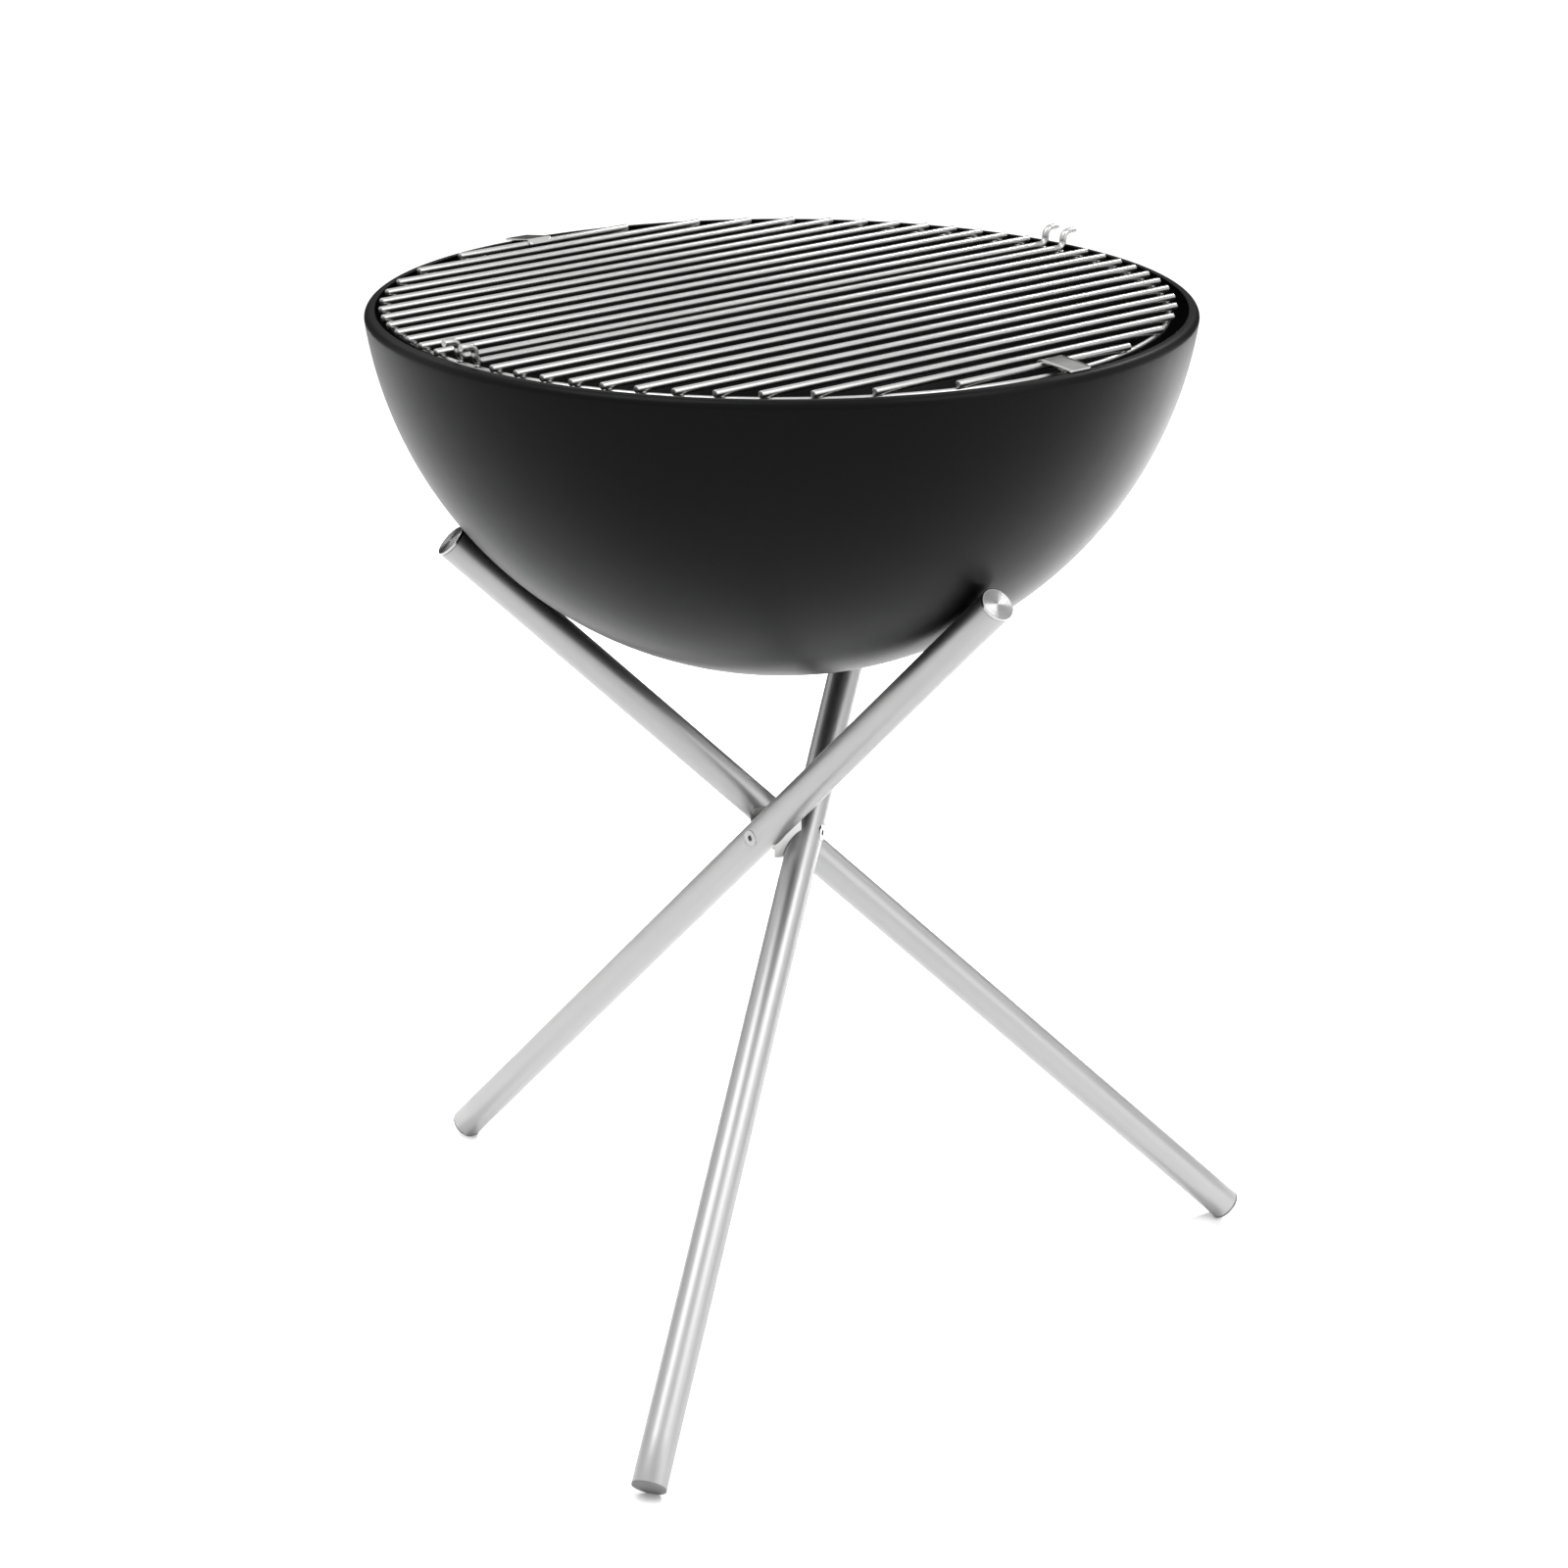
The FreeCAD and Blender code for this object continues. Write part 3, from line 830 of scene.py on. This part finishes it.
def make_tab(number):
    """A plate that is curled round the outermost rod and reaches over the rim."""
    node = "grate_tab_%d" % number
    rod = TAB_RODS[number]
    side = 1 if number == 1 else -1
    out = ACROSS_RODS * side
    left, right = extent(node, ALONG_RODS)
    half_width = (right - left) / 2
    rod_height = sum(extent("grate_rod_%02d" % rod, UP)) / 2
    axis = grate_point((left + right) / 2, rod_across(rod), rod_height)
    inner = ROD_RADIUS + TAB_WRAP_GAP
    outer = inner + TAB_SHEET
    corner = max(node_points(node), key=lambda point: point.dot(out)) - axis
    reach, rise = corner.dot(out), corner.dot(UP)
    length = math.sqrt(reach ** 2 + rise ** 2 - outer ** 2)
    slope = math.atan2(outer, length) - math.atan2(rise, reach)
    plate_out = out * math.cos(slope) - UP * math.sin(slope)
    plate_up = out * math.sin(slope) + UP * math.cos(slope)
    middle = (inner + outer) / 2
    rows = []
    for k in range(CURL_STEPS + 1):
        angle = math.pi / 2 + TAB_CURL * (1 - k / CURL_STEPS)
        rows.append((middle * math.cos(angle), middle * math.sin(angle), 0.0))
    rows.append((length / 2, middle, 0.0))
    for k in range(CORNER_STEPS + 1):
        angle = math.pi / 2 * k / CORNER_STEPS
        rows.append((length - TAB_CORNER * (1 - math.sin(angle)), middle,
                     TAB_CORNER * (1 - math.cos(angle))))
    vertices = []
    for across, height, inset in rows:
        for c in range(TAB_COLUMNS + 1):
            along = (half_width - inset) * (2 * c / TAB_COLUMNS - 1)
            vertices.append(axis + ALONG_RODS * along + plate_out * across + plate_up * height)
    faces = []
    row_length = TAB_COLUMNS + 1
    for r in range(len(rows) - 1):
        for c in range(TAB_COLUMNS):
            first = r * row_length + c
            faces.append((first, first + 1, first + row_length + 1, first + row_length))
    tab = new_object("tab_%d" % number, mesh_from("tab_%d" % number, vertices, faces))
    plate = tab.modifiers.new("sheet", "SOLIDIFY")
    plate.thickness = TAB_SHEET
    plate.offset = 0.0
    plate.use_even_offset = True
    tab = ease_edges(tab, TAB_EDGE)
    smooth(tab, sharp_angle=40.0)
    finish(tab, TAB_STEEL, "grate", "grate_tab", node)


# ---------------------------------------------------------------- legs

def pivot_drills():
    """The cutters for the sleeve's hole and for the screw head's countersunk hole."""
    hole = SLEEVE_RADIUS + RUNNING_FIT
    drill_in = spun("drill_in", [(0, -2 * TUBE_RADIUS), (hole, -2 * TUBE_RADIUS), (hole, 0), (0, 0)],
                    DRILL_SEGMENTS)
    hole = HEAD_RADIUS + RUNNING_FIT
    flare = TUBE_RADIUS - COUNTERSINK
    drill_out = spun("drill_out", [(0, 0), (hole, 0), (hole, flare),
                                   (hole + TUBE_RADIUS, flare + TUBE_RADIUS),
                                   (0, flare + TUBE_RADIUS)], DRILL_SEGMENTS)
    drills = [drill_in, drill_out]
    for drill in drills:
        drill.data.transform(LATHE_TO_SCREW)
    return drills


def make_tube(number, place):
    """A brushed tube with its two cross holes for the pivot."""
    node = "leg_tube_%d" % number
    start, end = leg_span(node, place)
    end -= CAP_SEAM
    edge = TUBE_EDGE
    corner = edge * CORNER_SHARE
    rings = [(BORE_RADIUS, start), (TUBE_RADIUS - edge, start),
             (TUBE_RADIUS - corner, start + corner), (TUBE_RADIUS, start + edge)]
    for k in range(1, TUBE_STEPS):
        rings.append((TUBE_RADIUS, start + (end - start) * k / TUBE_STEPS))
    rings += [(TUBE_RADIUS, end - edge), (TUBE_RADIUS - corner, end - corner),
              (TUBE_RADIUS - edge, end), (BORE_RADIUS, end)]
    tube = spun("tube_%d" % number, rings, TUBE_SEGMENTS, closed=True)
    tube = cut(tube, pivot_drills())
    smooth(tube, sharp_angle=30.0)
    put_in_place(tube, place)
    finish(tube, TUBE_STEEL, "leg_%d" % number, "leg_tube", node)


def make_cap(number, place):
    """A turned plate with a dished, finely grooved face."""
    node = "top_cap_%d" % number
    start, end = leg_span(node, place)
    plate = leg_span("leg_tube_%d" % number, place)[1]
    edge = CAP_EDGE
    rings = [(0, start), (PLUG_RADIUS - edge, start), (PLUG_RADIUS, start + edge),
             (PLUG_RADIUS, plate), (TUBE_RADIUS - edge / 2, plate),
             (TUBE_RADIUS, plate + edge / 2)]
    rings += arc((TUBE_RADIUS - edge, end - edge), edge, 0, 90, END_STEPS)
    face = TUBE_RADIUS - 2 * edge
    for k in range(CAP_GROOVES):
        for part, depth in GROOVE_PROFILE:
            radius = face * (1 - (k + part) / CAP_GROOVES)
            rings.append((radius, end - GROOVE_DEPTH * depth))
    rings.append((0, end - GROOVE_DEPTH))
    cap = spun("cap_%d" % number, rings, END_SEGMENTS)
    smooth(cap, sharp_angle=30.0)
    put_in_place(cap, place)
    finish(cap, CAP_STEEL, "leg_%d" % number, "tube_cap", node)


def wear_flat(mesh):
    """Takes off what is below the floor and closes the flat face that is left."""
    work = bmesh.new()
    work.from_mesh(mesh)
    everything = work.verts[:] + work.edges[:] + work.faces[:]
    cutting = bmesh.ops.bisect_plane(work, geom=everything, plane_co=(0, 0, 0), plane_no=-UP,
                                     clear_outer=True)
    rim = [item for item in cutting["geom_cut"] if isinstance(item, bmesh.types.BMEdge)]
    bmesh.ops.contextual_create(work, geom=rim)
    work.to_mesh(mesh)
    work.free()


def make_foot(number, place):
    """A flush foot, worn flat where it stands on the floor."""
    node = "foot_plug_%d" % number
    start = leg_span("leg_tube_%d" % number, place)[0]
    top = leg_span(node, place)[1]
    spread = leg_spread(number)
    bottom = -(place.translation.z - TUBE_RADIUS * math.sin(spread) + FOOT_TRIM) / math.cos(spread)
    edge = FOOT_EDGE
    rings = [(0, bottom), (TUBE_RADIUS / 2, bottom)]
    rings += arc((TUBE_RADIUS - edge, bottom + edge), edge, -90, 0, END_STEPS)
    rings += [(TUBE_RADIUS, start), (PLUG_RADIUS, start), (PLUG_RADIUS, top - edge),
              (PLUG_RADIUS - edge, top), (0, top)]
    foot = spun("foot_%d" % number, rings, END_SEGMENTS)
    put_in_place(foot, place)
    wear_flat(foot.data)
    smooth(foot, sharp_angle=30.0)
    finish(foot, RUBBER, "leg_%d" % number, "foot_rubber", node)


# ---------------------------------------------------------------- hub and pivots

def make_screw(number, place):
    """A socket-head screw along the leg's X axis, with a bevelled hexagon socket."""
    node = "pivot_screw_%d" % number
    outward = place.col[0].to_3d()
    top = TUBE_RADIUS - HEAD_RECESS
    under = top - HEAD_HEIGHT
    tip = extent(node, outward)[0] - place.translation.dot(outward)
    edge = SCREW_EDGE
    rings = [(0, tip), (SCREW_RADIUS - edge, tip), (SCREW_RADIUS, tip + edge), (SCREW_RADIUS, under),
             (HEAD_RADIUS - edge / 3, under), (HEAD_RADIUS, under + edge / 3)]
    rings += arc((HEAD_RADIUS - edge, top - edge), edge, 0, 90, SCREW_STEPS)
    mouth = SOCKET_FLATS / 2 / math.cos(math.pi / 6)
    bottom = top - SOCKET_DEPTH
    rings += [(mouth + SOCKET_RIM, top), (mouth + SOCKET_BEVEL, top),
              (hex_ring(SOCKET_FLATS), top - SOCKET_BEVEL_DEPTH), (hex_ring(SOCKET_FLATS), bottom),
              (SOCKET_FLATS / 4, bottom - DRILL_STEP), (0, bottom - DRILL_POINT)]
    screw = spun("screw_%d" % number, rings, SCREW_SEGMENTS)
    smooth(screw, sharp_angle=30.0)
    put_in_place(screw, place @ LATHE_TO_SCREW)
    finish(screw, SCREW_STEEL, "hub", "screw_steel", node)


def keep_cad_node(node, material):
    """A CAD node whose shape is right gets only its finish."""
    shape = frame["nodes"][node]
    for slot in shape.material_slots:
        slot.material = material
    if not shape.material_slots:
        shape.data.materials.append(material)


# ---------------------------------------------------------------- stage, light and camera

def pale_floor():
    """Matt near-white for the floor."""
    material, _, shader = new_material("pale_floor")
    shader["Base Color"].default_value = (0.9, 0.9, 0.9, 1)
    shader["Roughness"].default_value = 0.9
    return material


def make_floor():
    """A pale floor, wide at the front and sides; past its back edge the steel sees the curtain."""
    side = FLOOR_REACH
    corners = [(-side, -side, 0), (side, -side, 0), (side, FLOOR_BACK, 0), (-side, FLOOR_BACK, 0)]
    floor = new_object("studio_floor", mesh_from("studio_floor", corners, [(0, 1, 2, 3)]))
    floor.data.materials.append(pale_floor())
    floor.location.z = -FLOOR_DROP


def softbox(name, location, target, width, height, power, spread=180.0):
    """A rectangular light that points at its target; the spread is in degrees."""
    light = bpy.data.lights.new(name, "AREA")
    light.shape = "RECTANGLE"
    light.size = width
    light.size_y = height
    light.energy = power
    light.spread = math.radians(spread)
    lamp = bpy.data.objects.new(name, light)
    bpy.context.scene.collection.objects.link(lamp)
    lamp.location = location
    direction = Vector(target) - lamp.location
    lamp.rotation_euler = direction.to_track_quat("-Z", "Y").to_euler()


def make_world():
    """White all round, with a dark curtain low behind the grill that the camera doesn't see."""
    world = bpy.data.worlds.new("studio")
    bpy.context.scene.world = world
    world.use_nodes = True
    net = Net(world.node_tree)
    axes = net.add("ShaderNodeSeparateXYZ")
    net.join(net.add("ShaderNodeTexCoord").outputs["Generated"], axes.inputs[0])
    behind = net.rise(axes.outputs["Y"], *CURTAIN_SIDES)
    low = net.rise(axes.outputs["Z"], *CURTAIN_TOP)
    unseen = net.math("SUBTRACT", 1.0, net.add("ShaderNodeLightPath").outputs["Is Camera Ray"])
    curtain = net.math("MULTIPLY", net.math("MULTIPLY", behind, low), unseen)
    background = world.node_tree.nodes["Background"].inputs
    background["Color"].default_value = (1.0, 1.0, 1.0, 1)
    net.join(net.span(curtain, WORLD_WHITE, WORLD_CURTAIN), background["Strength"])


def make_light():
    """Four softboxes on the grill, and two narrow lights on the floor behind it."""
    middle = (0, 0, 0.45)
    softbox("left_softbox", (-1.4, -0.7, 3.4), middle, width=1.4, height=2.4, power=50)
    softbox("right_softbox", (2.0, -1.25, 3.0), middle, width=1.3, height=2.0, power=36)
    softbox("side_softbox", (3.0, -1.7, 1.0), middle, width=2.2, height=2.0, power=14)
    softbox("top_softbox", (0.2, -0.2, 4.2), middle, width=3.0, height=3.0, power=6)
    softbox("right_floor_glow", (2.3, 2.5, 3.0), (0.9, 1.2, 0), width=0.8, height=0.8, power=32,
            spread=50)
    softbox("left_floor_glow", (-2.3, 2.5, 3.0), (-0.95, 1.3, 0), width=0.8, height=0.8, power=9,
            spread=50)


def make_camera():
    """The camera, a little above the rim and looking down at the grill."""
    data = bpy.data.cameras.new("camera")
    data.sensor_width = CAMERA_SENSOR
    data.lens = CAMERA_LENS
    camera = bpy.data.objects.new("camera", data)
    bpy.context.scene.collection.objects.link(camera)
    camera.location = CAMERA_PLACE
    camera.rotation_euler = (math.pi / 2 - CAMERA_DOWN, CAMERA_ROLL, CAMERA_TURN)
    bpy.context.scene.camera = camera
    bpy.context.scene.view_settings.view_transform = "Standard"


# ---------------------------------------------------------------- assembly

make_camera()
make_bowl()
for rod_number in range(1, ROD_COUNT + 1):
    make_rod(rod_number)
make_ring()
make_welds()
for tab_number in TAB_RODS:
    make_tab(tab_number)
for leg_number in LEGS:
    leg = leg_place(leg_number)
    make_tube(leg_number, leg)
    make_cap(leg_number, leg)
    make_foot(leg_number, leg)
    make_screw(leg_number, leg)
    keep_cad_node("pivot_sleeve_%d" % leg_number, SLEEVE_STEEL)
keep_cad_node("hub", ALLOY)
make_floor()
make_world()
make_light()
